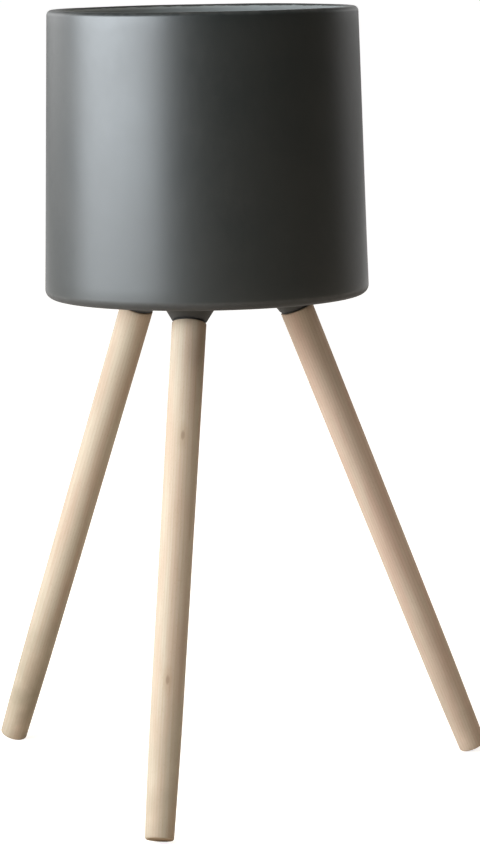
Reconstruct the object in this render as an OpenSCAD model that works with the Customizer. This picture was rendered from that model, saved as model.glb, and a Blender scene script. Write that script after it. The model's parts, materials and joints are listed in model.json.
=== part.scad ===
// Floor planter: a round pot with a thin rolled lip that stands on three splayed wooden legs.
// Each leg screws into a socket moulded under the pot, by a hanger bolt and a threaded insert.
// Millimetres, +Z up. The floor is z = 0, the front leg points along -Y, and the origin lies
// under the middle of the planter's overall footprint.

/* [Pot] */
// Outside diameter at the underside, as if the bottom edge were sharp
base_d = 240; // [210:1:280]
// Outside diameter at the rim
rim_d = 229; // [200:1:280]
// Height from the underside to the rim
pot_h = 211.5; // [150:0.5:280]
// Thickness of the side wall
wall = 8; // [7.2:0.1:12]
// Thickness of the pot's floor
floor_t = 10; // [9:0.5:16]
// Radius of the rounded bottom edge
base_edge_r = 6.5; // [2:0.5:12]
// Radius of each edge of the lip
lip_r = 3.5; // [1:0.1:3.5]
// Radius of the cove between the pot's floor and wall, inside
cove_r = 12; // [4:0.5:20]

/* [Leg sockets] */
// Diameter of the circle on which the leg axes meet the underside
leg_ring_d = 130; // [110:1:160]
// Angle of each leg away from the vertical
leg_splay = 22; // [16:0.5:26]
// Length of a socket along the leg axis
socket_len = 13; // [12:0.5:20]
// Diameter of a socket where it leaves the underside
socket_root_d = 41; // [36:0.5:48]
// How far the flare at a socket's root spreads and drops
socket_flare = 2.5; // [1.5:0.1:4]

/* [Legs] */
// Length of the wooden leg
leg_len = 375; // [250:1:480]
// Diameter at the top, level with the end of the socket
leg_top_d = 25.2; // [22:0.1:30]
// Diameter where the straight taper ends and the rounded one begins
leg_shin_d = 23.2; // [18:0.1:30]
// Diameter at the foot
leg_foot_d = 20.6; // [14:0.1:28]
// Length of the rounded taper, up from the foot
foot_taper_len = 105; // [40:1:200]
// Radius of the eased edge round the foot
foot_edge_r = 1.2; // [0.5:0.1:3]
// Radius of the eased edge round the leg's top
top_edge_r = 0.6; // [0.3:0.1:1.5]

/* [Leg fixings] */
// Nominal diameter of the machine thread
thread_d = 8; // [6:1:10]
// Advance of the machine thread in one turn
thread_pitch = 1.25; // [1:0.25:1.5]
// Turns that take a leg out of its socket
thread_turns = 10; // [6:1:10]
// Outside diameter of the threaded insert
insert_d = 12; // [11.5:0.5:14]
// Length of the threaded insert
insert_len = 16; // [15.5:0.5:18]
// Depth of the bonding grooves round the insert
groove_depth = 0.6; // [0.2:0.1:0.8]
// Width of each bonding groove
groove_w = 1.6; // [1:0.1:2.5]
// Diameter of the wood thread in the leg
wood_thread_d = 7; // [5:0.5:7.5]
// Length of the wood thread, with its point
wood_thread_len = 30; // [20:1:45]
// Length of the pointed end of the wood thread
point_len = 5.6; // [3:0.1:8]
// Chamfer round the upper end of the machine thread
bolt_chamfer = 1; // [0.5:0.1:1.5]
// Length of the plain shank between the two threads
shank_len = 4; // [2:0.5:8]
// Thickness of the rubber washer between socket and leg
washer_t = 1.5; // [1:0.1:3]
// How far the washer's edge stands in from the leg's
washer_inset = 0.9; // [0.4:0.1:2]

/* [Drain] */
// Diameter of the drain hole
drain_d = 22; // [14:1:30]
// Diameter of the recess round the drain hole
recess_d = 40; // [36:1:60]
// Depth of that recess
recess_depth = 3; // [2.5:0.1:4]
// Diameter of the plug's head
plug_head_d = 34; // [32:0.5:35]
// Thickness of the plug's head
plug_head_t = 2.2; // [1.5:0.1:2.4]
// How far the plug stands out under the pot
plug_out = 2; // [1:0.5:4]
// Size of the chamfer round the plug's lower end
plug_chamfer = 1; // [0.4:0.1:1.5]

/* [Clearances] */
// Radial clearance of the machine thread in the insert
thread_clear = 0.05; // [0.02:0.01:0.1]
// Radial clearance of the bolt in the leg's pilot hole
pilot_clear = 0.05; // [0.02:0.01:0.1]
// Radial gap for the adhesive round the insert
bond_gap = 0.1; // [0.05:0.01:0.2]
// Space left beyond the insert, the bolt's point and in like blind ends
blind_gap = 0.5; // [0.2:0.1:1]
// Radial clearance of the washer round the bolt
washer_clear = 0.4; // [0.2:0.1:0.8]
// Radial clearance of the plug in the drain hole
plug_clear = 0.1; // [0.05:0.01:0.2]

/* [Hidden] */
$fn = 128;

// Turn of each leg round the pot's axis, away from the front: a third of a turn apart
FRONT = 0;
RIGHT = 360 / 3;
LEFT = -RIGHT;
SIDES = [FRONT, LEFT, RIGHT];

// Colours
pot_colour = "#3e3f3e";
wood_colour = "#dfcbb0";
brass_colour = "#b9954f";
steel_colour = "#a9adb0";
rubber_colour = "#1d1d1d";

// How far a cut runs on past the face that it opens
cut_past = 1;
// Thickness of the thin discs that a socket's outer form is stretched between
disc_t = 1;
// Sides of those discs
disc_sides = 40;

// Lean of the pot's side: how far it draws in for each millimetre of height
lean = (base_d - rim_d) / 2 / pot_h;
slant = sqrt(1 + lean * lean);
side_out = [1, lean] / slant;

// The side's outside and inside at height z above the underside
function outer_x(z) = base_d / 2 - lean * z;
function inner_x(z) = outer_x(z) - wall * slant;

// Centres of the pot's four rounded corners in its section
base_c = [outer_x(base_edge_r) - base_edge_r * slant, base_edge_r];
lip_out_c = [outer_x(pot_h - lip_r) - lip_r * slant, pot_h - lip_r];
lip_in_c = [inner_x(pot_h - lip_r) + lip_r * slant, pot_h - lip_r];
cove_c = [inner_x(floor_t + cove_r) - cove_r * slant, floor_t + cove_r];

// Places along a leg's axis, measured down from where it meets the underside
leg_top_at = socket_len + washer_t;
foot_at = leg_top_at + leg_len;
insert_top_at = socket_len - insert_len;

// Hanger bolt: the machine thread is in the insert for thread_turns turns
thread_out = washer_t + thread_turns * thread_pitch;

// A foot touches the floor with its inner edge, which sets the height of the underside.
// foot_half is the radius of the flat part of the foot's end.
foot_half = leg_foot_d / 2 - foot_edge_r;
underside_z = (foot_at - foot_edge_r) * cos(leg_splay)
    + foot_half * sin(leg_splay) + foot_edge_r;

// Furthest reach of a foot from the pot's axis
foot_tip_r = leg_ring_d / 2 + (foot_at - foot_edge_r) * sin(leg_splay);
foot_reach = foot_tip_r + foot_half * cos(leg_splay) + foot_edge_r;

// Reach to the back: the pot's own side, or the spread of the two rear feet
rear_lean = sin(leg_splay) * cos(RIGHT);
rear_reach = -foot_tip_r * cos(RIGHT) + foot_half * sqrt(1 - rear_lean * rear_lean) + foot_edge_r;
pot_back = base_c.x + base_edge_r;
back_reach = max(pot_back, rear_reach);

// The pot's axis stands behind the middle of the footprint, because the front foot reaches far
pot_y = (foot_reach - back_reach) / 2;

// Sets its children, drawn on the pot's axis from the underside up, in their place
module on_pot() {
    translate([0, pot_y, underside_z])
        children();
}

// Sets its children, drawn down the -Z axis, on a leg's axis
module on_leg(turn) {
    on_pot()
        leg_frame(turn)
            children();
}

module leg_frame(turn) {
    rotate([0, 0, turn])
        translate([0, -leg_ring_d / 2, 0])
            rotate([-leg_splay, 0, 0])
                children();
}

// A tube or rod down the leg's axis, between two places on it
module rod(from, to, d) {
    translate([0, 0, -to])
        cylinder(d = d, h = to - from);
}

// Section of the pot's outer form, to the right of its axis
module outer_section() {
    polygon([
        [0, 0],
        [base_c.x, 0],
        base_c + base_edge_r * side_out,
        lip_out_c + lip_r * side_out,
        [lip_out_c.x, pot_h],
        [0, pot_h],
    ]);
    translate(base_c)
        circle(r = base_edge_r);
    translate(lip_out_c)
        circle(r = lip_r);
}

// Section of the space inside the pot, up past the rim
module cavity_section() {
    difference() {
        union() {
            polygon([
                [0, floor_t],
                [cove_c.x, floor_t],
                cove_c + cove_r * side_out,
                lip_in_c - lip_r * side_out,
                [lip_in_c.x, pot_h],
                [lip_in_c.x, pot_h + lip_r],
                [0, pot_h + lip_r],
            ]);
            translate(cove_c)
                circle(r = cove_r);
        }
        translate(lip_in_c)
            circle(r = lip_r);
    }
}

// One socket: a cone from a round root on the underside to the leg's own round end
module socket(turn) {
    root = [0, -leg_ring_d / 2, 0];
    flare_shift = [0, socket_flare * tan(leg_splay), socket_flare];
    hull() {
        rotate([0, 0, turn])
            translate(root)
                cylinder(d = socket_root_d, h = disc_t, $fn = disc_sides);
        leg_frame(turn)
            translate([0, 0, -socket_len])
                cylinder(d = leg_top_d, h = disc_t, $fn = disc_sides);
    }
    hull() {
        rotate([0, 0, turn])
            translate(root)
                cylinder(d = socket_root_d + 2 * socket_flare, h = disc_t, $fn = disc_sides);
        rotate([0, 0, turn])
            translate(root - flare_shift)
                cylinder(d = socket_root_d - 2 * socket_flare, h = disc_t, $fn = disc_sides);
    }
}

module pot() {
    color(pot_colour)
        on_pot()
            difference() {
                union() {
                    rotate_extrude()
                        outer_section();
                    for (turn = SIDES)
                        socket(turn);
                }
                rotate_extrude()
                    cavity_section();
                for (turn = SIDES)
                    leg_frame(turn)
                        rod(insert_top_at - blind_gap, socket_len + cut_past, insert_d + 2 * bond_gap);
                translate([0, 0, -cut_past])
                    cylinder(d = drain_d, h = floor_t + 2 * cut_past);
                translate([0, 0, floor_t - recess_depth])
                    cylinder(d = recess_d, h = recess_depth + cut_past);
            }
}

// Rubber plug: its head lies in the recess and its stem fills the drain hole
module drain_plug() {
    seat_z = floor_t - recess_depth;
    stem_r = drain_d / 2 - plug_clear;
    color(rubber_colour)
        on_pot()
            rotate_extrude()
                polygon([
                    [0, -plug_out],
                    [stem_r - plug_chamfer, -plug_out],
                    [stem_r, plug_chamfer - plug_out],
                    [stem_r, seat_z],
                    [plug_head_d / 2, seat_z],
                    [plug_head_d / 2, seat_z + plug_head_t / 2],
                    [plug_head_d / 2 - plug_head_t / 2, seat_z + plug_head_t],
                    [0, seat_z + plug_head_t],
                ]);
}

// Brass insert: a threaded sleeve with two grooves that key it into the socket
module insert(turn) {
    groove_at = [insert_top_at + insert_len / 3, insert_top_at + insert_len * 2 / 3];
    color(brass_colour)
        on_leg(turn)
            difference() {
                rod(insert_top_at, socket_len, insert_d);
                rod(insert_top_at - cut_past, socket_len + cut_past, thread_d);
                for (at = groove_at)
                    difference() {
                        rod(at - groove_w / 2, at + groove_w / 2, insert_d + 2 * cut_past);
                        rod(at - groove_w, at + groove_w, insert_d - 2 * groove_depth);
                    }
            }
}

// Rubber washer: it shows as the dark line between socket and leg
module washer(turn) {
    color(rubber_colour)
        on_leg(turn)
            difference() {
                rod(socket_len, leg_top_at, leg_top_d - 2 * washer_inset);
                rod(socket_len - cut_past, leg_top_at + cut_past, thread_d + 2 * washer_clear);
            }
}

// Outline of the hanger bolt from its axis out, grown by a clearance for the pilot hole.
// Heights are measured up from the leg's top.
function wood_end(grow) = [
    [wood_thread_d / 2 + grow, -shank_len],
    [wood_thread_d / 2 + grow, point_len - shank_len - wood_thread_len],
    [0, -shank_len - wood_thread_len - grow * 2],
];

// Hanger bolt: a machine thread above the leg, a plain shank and a pointed wood thread in it
module hanger_bolt(turn) {
    thread_r = thread_d / 2 - thread_clear;
    color(steel_colour)
        on_leg(turn)
            translate([0, 0, -leg_top_at])
                rotate_extrude()
                    polygon(concat([
                        [0, thread_out],
                        [thread_r - bolt_chamfer, thread_out],
                        [thread_r, thread_out - bolt_chamfer],
                        [thread_r, -shank_len],
                    ], wood_end(0)));
}

// Radius of the leg at a distance down from its top: a straight taper, then a rounded one
rounding_at = leg_len - foot_taper_len;
shin_slope = (leg_top_d - leg_shin_d) / 2 / rounding_at;
foot_drop = (leg_shin_d - leg_foot_d) / 2 - shin_slope * foot_taper_len;
function leg_r(s) = leg_top_d / 2 - shin_slope * s
    - (s > rounding_at ? foot_drop * pow((s - rounding_at) / foot_taper_len, 2) : 0);

// Points of an arc round a centre
function arc(centre, r, from, to, steps) = [
    for (i = [0:steps])
        let (angle = from + (to - from) * i / steps) centre + r * [cos(angle), sin(angle)]
];

// Outline of the leg, from its top down to the foot
module leg_section() {
    taper_steps = 12;
    top_steps = 4;
    foot_steps = 6;
    last_at = leg_len - foot_edge_r;
    taper = [
        for (i = [0:taper_steps])
            let (s = rounding_at + (last_at - rounding_at) * i / taper_steps) [leg_r(s), -s]
    ];
    top_c = [leg_top_d / 2 - top_edge_r, -top_edge_r];
    foot_c = [leg_r(last_at) - foot_edge_r, -last_at];
    polygon(concat(
        [[0, 0]],
        arc(top_c, top_edge_r, 90, 0, top_steps),
        taper,
        arc(foot_c, foot_edge_r, 0, -90, foot_steps),
        [[0, -leg_len]]
    ));
}

// Wooden leg with the pilot hole that the hanger bolt is driven into
module leg(turn) {
    pilot_r = thread_d / 2 - thread_clear + pilot_clear;
    color(wood_colour)
        on_leg(turn)
            translate([0, 0, -leg_top_at])
                difference() {
                    rotate_extrude()
                        leg_section();
                    rotate_extrude()
                        polygon(concat([
                            [0, cut_past],
                            [pilot_r, cut_past],
                            [pilot_r, -shank_len],
                        ], wood_end(pilot_clear)));
                }
}

pot();
drain_plug();
insert(FRONT);  // front_insert
insert(LEFT);  // left_insert
insert(RIGHT);  // right_insert
washer(FRONT);  // front_washer
washer(LEFT);  // left_washer
washer(RIGHT);  // right_washer
hanger_bolt(FRONT);  // front_bolt
hanger_bolt(LEFT);  // left_bolt
hanger_bolt(RIGHT);  // right_bolt
leg(FRONT);  // front_leg
leg(LEFT);  // left_leg
leg(RIGHT);  // right_leg
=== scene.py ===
"""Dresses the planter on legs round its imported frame.

Each sub-assembly is a class that builds its own closed meshes from the frame's places and its
own sizes. Each finish is a small class that paints with nodes, and an effect that several
finishes share is a node group. Lengths are metres, +Z is up and the front leg points along -Y.
"""
import json
import logging
import math
from collections.abc import Callable, Iterable, Sequence
from dataclasses import dataclass
from enum import Enum
from typing import Any

import bmesh
import bpy
from mathutils import Matrix, Vector


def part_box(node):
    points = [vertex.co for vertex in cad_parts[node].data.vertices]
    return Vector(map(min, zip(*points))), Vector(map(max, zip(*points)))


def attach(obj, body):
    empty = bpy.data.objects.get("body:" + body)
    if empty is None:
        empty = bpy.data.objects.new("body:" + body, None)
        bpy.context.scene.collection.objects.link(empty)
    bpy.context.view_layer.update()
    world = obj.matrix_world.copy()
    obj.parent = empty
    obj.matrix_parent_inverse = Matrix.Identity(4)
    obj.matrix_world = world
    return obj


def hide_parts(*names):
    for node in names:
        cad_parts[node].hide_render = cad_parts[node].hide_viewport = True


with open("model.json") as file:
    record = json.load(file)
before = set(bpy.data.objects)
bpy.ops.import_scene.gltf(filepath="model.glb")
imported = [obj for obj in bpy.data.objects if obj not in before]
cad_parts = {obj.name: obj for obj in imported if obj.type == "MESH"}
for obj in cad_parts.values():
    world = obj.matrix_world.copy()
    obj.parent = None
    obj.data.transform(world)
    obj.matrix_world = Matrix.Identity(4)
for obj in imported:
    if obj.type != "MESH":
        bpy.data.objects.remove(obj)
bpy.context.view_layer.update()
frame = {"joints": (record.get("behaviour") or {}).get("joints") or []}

log = logging.getLogger("planter")

EDGE_WEIGHT = "edge"
OWN_PLACE = "own_place"
FULL_TURN = 2 * math.pi

Colour = tuple[float, float, float]
Pair = tuple[float, float]
Levels = tuple[float, float, float, float]
Socket = bpy.types.NodeSocket
Given = float | tuple[float, ...] | Socket
Ring = list[bmesh.types.BMVert]

DUST: Colour = (0.30, 0.28, 0.25)

# The Mix node's sockets for colours. Their names are also those of its sockets for other kinds.
MIX_SHARE, MIX_START, MIX_END, MIX_RESULT = 0, 6, 7, 2


class Side(Enum):
    """The three legs, named by where they stand."""

    FRONT = "front"
    LEFT = "left"
    RIGHT = "right"

    def part(self, name: str) -> str:
        """The frame's name of this leg's part."""
        return f"{self.value}_{name}"


class Slot(Enum):
    """The record's material slots."""

    POT = "pot_body"
    WOOD = "wood"
    BRASS = "brass"
    STEEL = "zinc_steel"
    RUBBER = "rubber"


class Nodes:
    """Places nodes in one tree and joins them as they are placed."""

    def __init__(self, tree: bpy.types.NodeTree) -> None:
        """Keeps the tree that the nodes go into."""
        self.tree = tree

    def feed(self, socket: Socket, value: Given) -> None:
        """Links a socket to an input, or sets the input to a plain value.

        Args:
            socket: The input to feed.
            value: A socket, a number, or a tuple for a vector or a colour.
        """
        if isinstance(value, Socket):
            self.tree.links.new(value, socket)
        elif socket.type == "RGBA" and len(value) == 3:
            socket.default_value = (*value, 1.0)
        else:
            socket.default_value = value

    def add(self, kind: str, inputs: dict[str | int, Given] | None = None,
            **settings: Any) -> bpy.types.Node:
        """Places one node.

        Args:
            kind: The node's type, without the leading ShaderNode.
            inputs: Values or sockets for its inputs, by name or place.
            **settings: Properties of the node itself.

        Returns:
            The new node.
        """
        node = self.tree.nodes.new("ShaderNode" + kind)
        for name, value in settings.items():
            setattr(node, name, value)
        for key, value in (inputs or {}).items():
            self.feed(node.inputs[key], value)
        return node

    def math(self, operation: str, *values: Given) -> Socket:
        """The result of a Math node with these inputs."""
        return self.add("Math", dict(enumerate(values)), operation=operation).outputs[0]

    def plus(self, first: Given, second: Given) -> Socket:
        """The sum of two values."""
        return self.math("ADD", first, second)

    def times(self, first: Given, second: Given) -> Socket:
        """The product of two values."""
        return self.math("MULTIPLY", first, second)

    def vector(self, operation: str, *values: Given) -> Socket:
        """The vector that a Vector Math node makes of these inputs."""
        node = self.add("VectorMath", dict(enumerate(values)), operation=operation)
        return node.outputs["Vector"]

    def measure(self, operation: str, *values: Given) -> Socket:
        """The number that a Vector Math node makes of these inputs."""
        node = self.add("VectorMath", dict(enumerate(values)), operation=operation)
        return node.outputs["Value"]

    def part(self, vector: Given, name: str) -> Socket:
        """The X, Y or Z of a vector."""
        return self.add("SeparateXYZ", {0: vector}).outputs[name]

    def scaled(self, vector: Given, scale: tuple[float, float, float]) -> Socket:
        """A vector with each part times its own scale."""
        return self.vector("MULTIPLY", vector, scale)

    def from_axis(self, vector: Given) -> Socket:
        """How far a vector lies out from the Z axis."""
        return self.measure("LENGTH", self.scaled(vector, (1.0, 1.0, 0.0)))

    def remap(self, value: Given, low: float, high: float, to_low: float = 0.0,
              to_high: float = 1.0) -> Socket:
        """Moves a value smoothly from one range into another, and holds it at the ends.

        Args:
            value: What to move.
            low: Where the first range starts.
            high: Where the first range ends.
            to_low: Where the second range starts.
            to_high: Where the second range ends.

        Returns:
            The moved value.
        """
        ranges = {"From Min": low, "From Max": high, "To Min": to_low, "To Max": to_high}
        node = self.add("MapRange", {"Value": value, **ranges}, interpolation_type="SMOOTHSTEP")
        return node.outputs["Result"]

    def blend(self, share: Given, start: Given, end: Given) -> Socket:
        """A colour between two colours."""
        inputs = {MIX_SHARE: share, MIX_START: start, MIX_END: end}
        return self.add("Mix", inputs, data_type="RGBA").outputs[MIX_RESULT]

    def noise(self, vector: Socket, scale: Given, detail: float = 2.0) -> Socket:
        """Smooth noise about one half."""
        node = self.add("TexNoise", {"Vector": vector, "Scale": scale, "Detail": detail})
        return node.outputs["Fac"]

    def own_place(self) -> Socket:
        """The coordinates that the piece was drawn in."""
        return self.add("Attribute", attribute_name=OWN_PLACE).outputs["Vector"]

    def normal(self) -> Socket:
        """The way that the surface faces."""
        return self.add("NewGeometry").outputs["Normal"]

    def seen(self, mirrored: Socket) -> Socket:
        """Lets white paper be seen without lighting anything.

        Args:
            mirrored: How much of it shows in reflections and through glass.

        Returns:
            One for the camera's own rays, and the given share for glossy and transmitted ones.
        """
        path = self.add("LightPath").outputs
        indirect = self.math("MAXIMUM", path["Is Glossy Ray"], path["Is Transmission Ray"])
        return self.math("MAXIMUM", path["Is Camera Ray"], self.times(mirrored, indirect))


def emptied(owner: bpy.types.Material | bpy.types.World) -> Nodes:
    """Clears the node tree of a material or of the world.

    Args:
        owner: What the tree belongs to.

    Returns:
        The empty tree.
    """
    owner.use_nodes = True
    owner.node_tree.nodes.clear()
    return Nodes(owner.node_tree)


class Effect:
    """A shader effect that several finishes use: a node group that is built once.

    A subclass gives its title, its inputs with their defaults, its outputs, and how they are wired.
    """

    title = ""
    inputs: dict[str, float | tuple[float, float, float]] = {}
    outputs: tuple[str, ...] = ()

    def wire(self, nodes: Nodes, given: dict[str, Socket]) -> dict[str, Socket]:
        """Wires the group.

        Args:
            nodes: The group's own tree.
            given: The group's inputs by name.

        Returns:
            The group's outputs by name.
        """
        raise NotImplementedError

    def group(self) -> bpy.types.NodeTree:
        """Builds the node group, unless it is there already.

        Returns:
            The node group.
        """
        made = bpy.data.node_groups.get(self.title)
        if made is not None:
            return made
        tree = bpy.data.node_groups.new(self.title, "ShaderNodeTree")
        for name, default in self.inputs.items():
            kind = "NodeSocketFloat" if isinstance(default, float) else "NodeSocketVector"
            port = tree.interface.new_socket(name, in_out="INPUT", socket_type=kind)
            port.default_value = default
        for name in self.outputs:
            tree.interface.new_socket(name, in_out="OUTPUT", socket_type="NodeSocketFloat")
        nodes = Nodes(tree)
        entry = tree.nodes.new("NodeGroupInput")
        leave = tree.nodes.new("NodeGroupOutput")
        results = self.wire(nodes, {name: entry.outputs[name] for name in self.inputs})
        for name, result in results.items():
            nodes.feed(leave.inputs[name], result)
        return tree

    def place(self, nodes: Nodes, values: dict[str, Given]) -> dict[str, Socket]:
        """Places the group in a tree with its own values.

        Args:
            nodes: The tree that it goes into.
            values: Values or sockets for its inputs.

        Returns:
            Its outputs by name.
        """
        node = nodes.add("Group", node_tree=self.group())
        for name, value in values.items():
            nodes.feed(node.inputs[name], value)
        return {name: node.outputs[name] for name in self.outputs}


class Mottle(Effect):
    """Soft blotches of one size, about one half."""

    title = "mottle"
    inputs = {"Place": (0.0, 0.0, 0.0), "Size": 0.01, "Contrast": 1.0}
    outputs = ("Value",)
    detail = 3.0

    def wire(self, nodes: Nodes, given: dict[str, Socket]) -> dict[str, Socket]:
        """Wires noise whose blotches are as large as Size says.

        Args:
            nodes: The group's own tree.
            given: The group's inputs by name.

        Returns:
            The group's outputs by name.
        """
        noise = nodes.noise(given["Place"], nodes.math("DIVIDE", 1.0, given["Size"]), self.detail)
        spread = nodes.times(nodes.math("SUBTRACT", noise, 0.5), given["Contrast"])
        return {"Value": nodes.plus(spread, 0.5)}


class EdgeWear(Effect):
    """Where handling has rubbed a rounded edge: the mesh's own edge weight, broken up by noise."""

    title = "edge wear"
    inputs = {"Place": (0.0, 0.0, 0.0), "Size": 0.004, "Amount": 1.0}
    outputs = ("Mask",)
    detail = 3.0
    patches = (0.35, 0.65)

    def wire(self, nodes: Nodes, given: dict[str, Socket]) -> dict[str, Socket]:
        """Wires the edge weight times blotches that are as large as Size says.

        Args:
            nodes: The group's own tree.
            given: The group's inputs by name.

        Returns:
            The group's outputs by name.
        """
        weight = nodes.add("Attribute", attribute_name=EDGE_WEIGHT).outputs["Fac"]
        noise = nodes.noise(given["Place"], nodes.math("DIVIDE", 1.0, given["Size"]), self.detail)
        broken = nodes.times(weight, nodes.remap(noise, *self.patches))
        return {"Mask": nodes.times(broken, given["Amount"])}


class Dust(Effect):
    """Fine dust that settles where a surface looks up.

    Patches and specks are noise of a scale and a detail, moved from a range into another.
    """

    title = "fine dust"
    inputs = {"Place": (0.0, 0.0, 0.0), "Amount": 0.2}
    outputs = ("Mask",)
    lying = (0.3, 0.95)
    patches = (60.0, 4.0)
    patch_levels = (0.35, 0.7, 0.35, 1.0)
    specks = (1400.0, 1.0)
    speck_levels = (0.4, 0.7, 0.4, 1.0)

    def wire(self, nodes: Nodes, given: dict[str, Socket]) -> dict[str, Socket]:
        """Wires how far the surface looks up, times fine and coarse specks.

        Args:
            nodes: The group's own tree.
            given: The group's inputs by name.

        Returns:
            The group's outputs by name.
        """
        up = nodes.remap(nodes.part(nodes.normal(), "Z"), *self.lying)
        coarse = nodes.remap(nodes.noise(given["Place"], *self.patches), *self.patch_levels)
        fine = nodes.remap(nodes.noise(given["Place"], *self.specks), *self.speck_levels)
        return {"Mask": nodes.times(nodes.times(up, nodes.times(coarse, fine)), given["Amount"])}


class TurnedMarks(Effect):
    """Fine rings that a lathe or a mould leaves round an axis."""

    title = "turned marks"
    inputs = {"Place": (0.0, 0.0, 0.0), "Pitch": 0.0004}
    outputs = ("Height",)
    detail = 1.0

    def wire(self, nodes: Nodes, given: dict[str, Socket]) -> dict[str, Socket]:
        """Wires noise that changes only along the axis and, on flat ends, out from it.

        Args:
            nodes: The group's own tree.
            given: The group's inputs by name.

        Returns:
            The group's outputs by name.
        """
        place = given["Place"]
        along = nodes.add("CombineXYZ", {0: nodes.from_axis(place), 2: nodes.part(place, "Z")})
        scale = nodes.math("DIVIDE", 1.0, given["Pitch"])
        return {"Height": nodes.noise(along.outputs[0], scale, self.detail)}


class WoodGrain(Effect):
    """Straight-grained beech along Z: growth rings, fibres, flecks and a slow drift of tone."""

    title = "wood grain"
    inputs = {"Place": (0.0, 0.0, 0.0), "Pith": (0.05, 0.02, 0.0), "Ring Width": 0.0021,
              "Seed": 0.0}
    outputs = ("Ring", "Fibre", "Fleck", "Tone")
    ring_waver = 0.0016
    waver_scale = 55.0
    ring_sharpness = 3.0
    drawn_out = (1.0, 1.0, 0.1)
    fibre_drawn_out = (1.0, 1.0, 0.02)
    fibre_scale = 1500.0
    fibre_detail = 3.0
    fleck_scale = (2600.0, 2600.0, 330.0)
    fleck_edge = (0.34, 0.16)
    bare_share = 0.62
    tone_scale = 130.0

    def wire(self, nodes: Nodes, given: dict[str, Socket]) -> dict[str, Socket]:
        """Wires rings about the pith, bent by slow noise, and the rest drawn out along Z.

        Args:
            nodes: The group's own tree.
            given: The group's inputs by name.

        Returns:
            The group's outputs by name.
        """
        shift = nodes.add("CombineXYZ", {axis: given["Seed"] for axis in range(3)}).outputs[0]
        place = nodes.vector("ADD", given["Place"], shift)
        drawn = nodes.scaled(place, self.drawn_out)

        bend = nodes.math("SUBTRACT", nodes.noise(drawn, self.waver_scale), 0.5)
        out = nodes.from_axis(nodes.vector("SUBTRACT", given["Place"], given["Pith"]))
        bent = nodes.plus(out, nodes.times(bend, 2 * self.ring_waver))
        count = nodes.math("DIVIDE", bent, given["Ring Width"])
        ring = nodes.math("POWER", nodes.math("FRACT", count), self.ring_sharpness)
        fibres = nodes.scaled(place, self.fibre_drawn_out)
        fibre = nodes.noise(fibres, self.fibre_scale, self.fibre_detail)

        stretched = nodes.scaled(place, self.fleck_scale)
        cells = nodes.add("TexVoronoi", {"Vector": stretched, "Scale": 1.0}).outputs
        chance = nodes.add("SeparateColor", {0: cells["Color"]}).outputs[0]
        chosen = nodes.math("GREATER_THAN", chance, self.bare_share)
        fleck = nodes.times(nodes.remap(cells["Distance"], *self.fleck_edge), chosen)
        tone = nodes.noise(drawn, self.tone_scale)
        return {"Ring": ring, "Fibre": fibre, "Fleck": fleck, "Tone": tone}


class PinKnot(Effect):
    """One small knot: a dark eye drawn out along the grain, with a paler stain round it."""

    title = "pin knot"
    inputs = {"Place": (0.0, 0.0, 0.0), "Centre": (0.0, 0.0, 0.0), "Size": 0.001}
    outputs = ("Eye", "Stain")
    squash = (1.0, 1.0, 0.4)
    eye = (1.2, 0.5)
    stain = (4.0, 1.0)

    def wire(self, nodes: Nodes, given: dict[str, Socket]) -> dict[str, Socket]:
        """Wires the distance to the centre, shortened along the grain, in knot sizes.

        Args:
            nodes: The group's own tree.
            given: The group's inputs by name.

        Returns:
            The group's outputs by name.
        """
        away = nodes.vector("SUBTRACT", given["Place"], given["Centre"])
        length = nodes.measure("LENGTH", nodes.scaled(away, self.squash))
        sizes = nodes.math("DIVIDE", length, given["Size"])
        return {"Eye": nodes.remap(sizes, *self.eye), "Stain": nodes.remap(sizes, *self.stain)}


class Surface(Nodes):
    """A material in the making: its shader, and the effects laid over the piece's own place."""

    def __init__(self, name: str) -> None:
        """Starts a material with a Principled shader on its output.

        Args:
            name: The material's name.
        """
        self.material = bpy.data.materials.new(name)
        super().__init__(emptied(self.material).tree)
        self.shader = self.add("BsdfPrincipled")
        self.add("OutputMaterial", {"Surface": self.shader.outputs[0]})
        self.place = self.own_place()

    def mottle(self, size: float, contrast: float) -> Socket:
        """Soft blotches of one size."""
        values = {"Place": self.place, "Size": size, "Contrast": contrast}
        return Mottle().place(self, values)["Value"]

    def wear(self, size: float, amount: float) -> Socket:
        """Where the rounded edges are rubbed, in patches of one size."""
        values = {"Place": self.place, "Size": size, "Amount": amount}
        return EdgeWear().place(self, values)["Mask"]

    def dust(self, amount: float) -> Socket:
        """Where fine dust lies."""
        return Dust().place(self, {"Place": self.place, "Amount": amount})["Mask"]

    def finish(self, colour: Socket, roughness: Socket, height: Socket, depth: float,
               even: dict[str, float] | None = None) -> bpy.types.Material:
        """Feeds the shader and ends the material.

        Args:
            colour: The base colour.
            roughness: The roughness.
            height: The relief.
            depth: How deep the relief is.
            even: The shader's inputs that are the same all over the surface, by name.

        Returns:
            The finished material.
        """
        relief = self.add("Bump", {"Height": height, "Distance": depth, "Strength": 1.0}).outputs[0]
        for name, value in {"Base Color": colour, "Roughness": roughness, "Normal": relief}.items():
            self.feed(self.shader.inputs[name], value)
        for name, value in (even or {}).items():
            self.shader.inputs[name].default_value = value
        return self.material


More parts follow.
